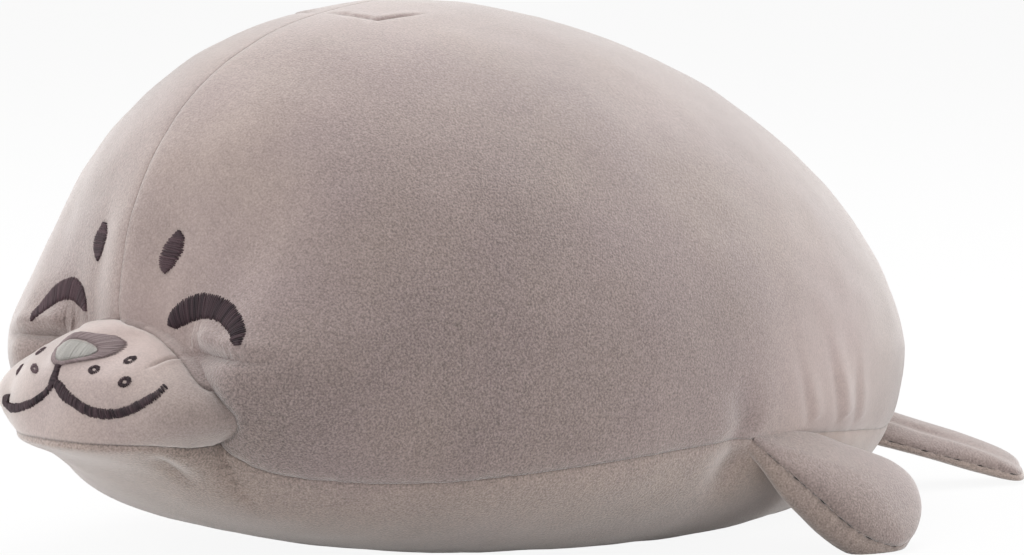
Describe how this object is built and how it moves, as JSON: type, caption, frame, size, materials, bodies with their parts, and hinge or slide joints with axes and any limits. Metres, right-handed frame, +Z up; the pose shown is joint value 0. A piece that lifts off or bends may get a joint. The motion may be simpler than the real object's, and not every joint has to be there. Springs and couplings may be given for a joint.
{
  "type": "plush seal",
  "caption": "Round plump plush seal lying on its belly, with a smiling embroidered face, a short muzzle and flippers.",
  "frame": {"origin": "middle of the flat patch of belly that the seal lies on, at the floor", "axes": "+Z up, -Y towards the nose, +X to the seal's left side"},
  "size_m": [0.3316, 0.4807, 0.2125],
  "materials": {
    "plush": "short velvety pile",
    "belly_plush": "short velvety pile",
    "dark_thread": "satin stitch",
    "grey_thread": "satin stitch",
    "nose_thread": "satin stitch",
    "filling": "loose fibre"
  },
  "bodies": {
    "root": {"belly_panel": "belly_plush", "body_filling": "filling", "left_brow_stitch": "dark_thread", "left_eye_stitch": "dark_thread", "left_front_flipper_filling": "filling", "left_front_flipper_under": "belly_plush", "left_front_flipper_upper": "plush", "left_hind_flipper_filling": "filling", "left_hind_flipper_under": "belly_plush", "left_hind_flipper_upper": "plush", "left_mouth_stitch": "dark_thread", "left_side_panel": "plush", "left_whisker_dot_1_stitch": "dark_thread", "left_whisker_dot_2_stitch": "dark_thread", "left_whisker_dot_3_stitch": "dark_thread", "muzzle_panel": "belly_plush", "nose_fill_stitch": "nose_thread", "nose_outline_stitch": "grey_thread", "philtrum_stitch": "dark_thread", "right_brow_stitch": "dark_thread", "right_eye_stitch": "dark_thread", "right_front_flipper_filling": "filling", "right_front_flipper_under": "belly_plush", "right_front_flipper_upper": "plush", "right_hind_flipper_filling": "filling", "right_hind_flipper_under": "belly_plush", "right_hind_flipper_upper": "plush", "right_mouth_stitch": "dark_thread", "right_side_panel": "plush", "right_whisker_dot_1_stitch": "dark_thread", "right_whisker_dot_2_stitch": "dark_thread", "right_whisker_dot_3_stitch": "dark_thread"}
  },
  "joints": []
}
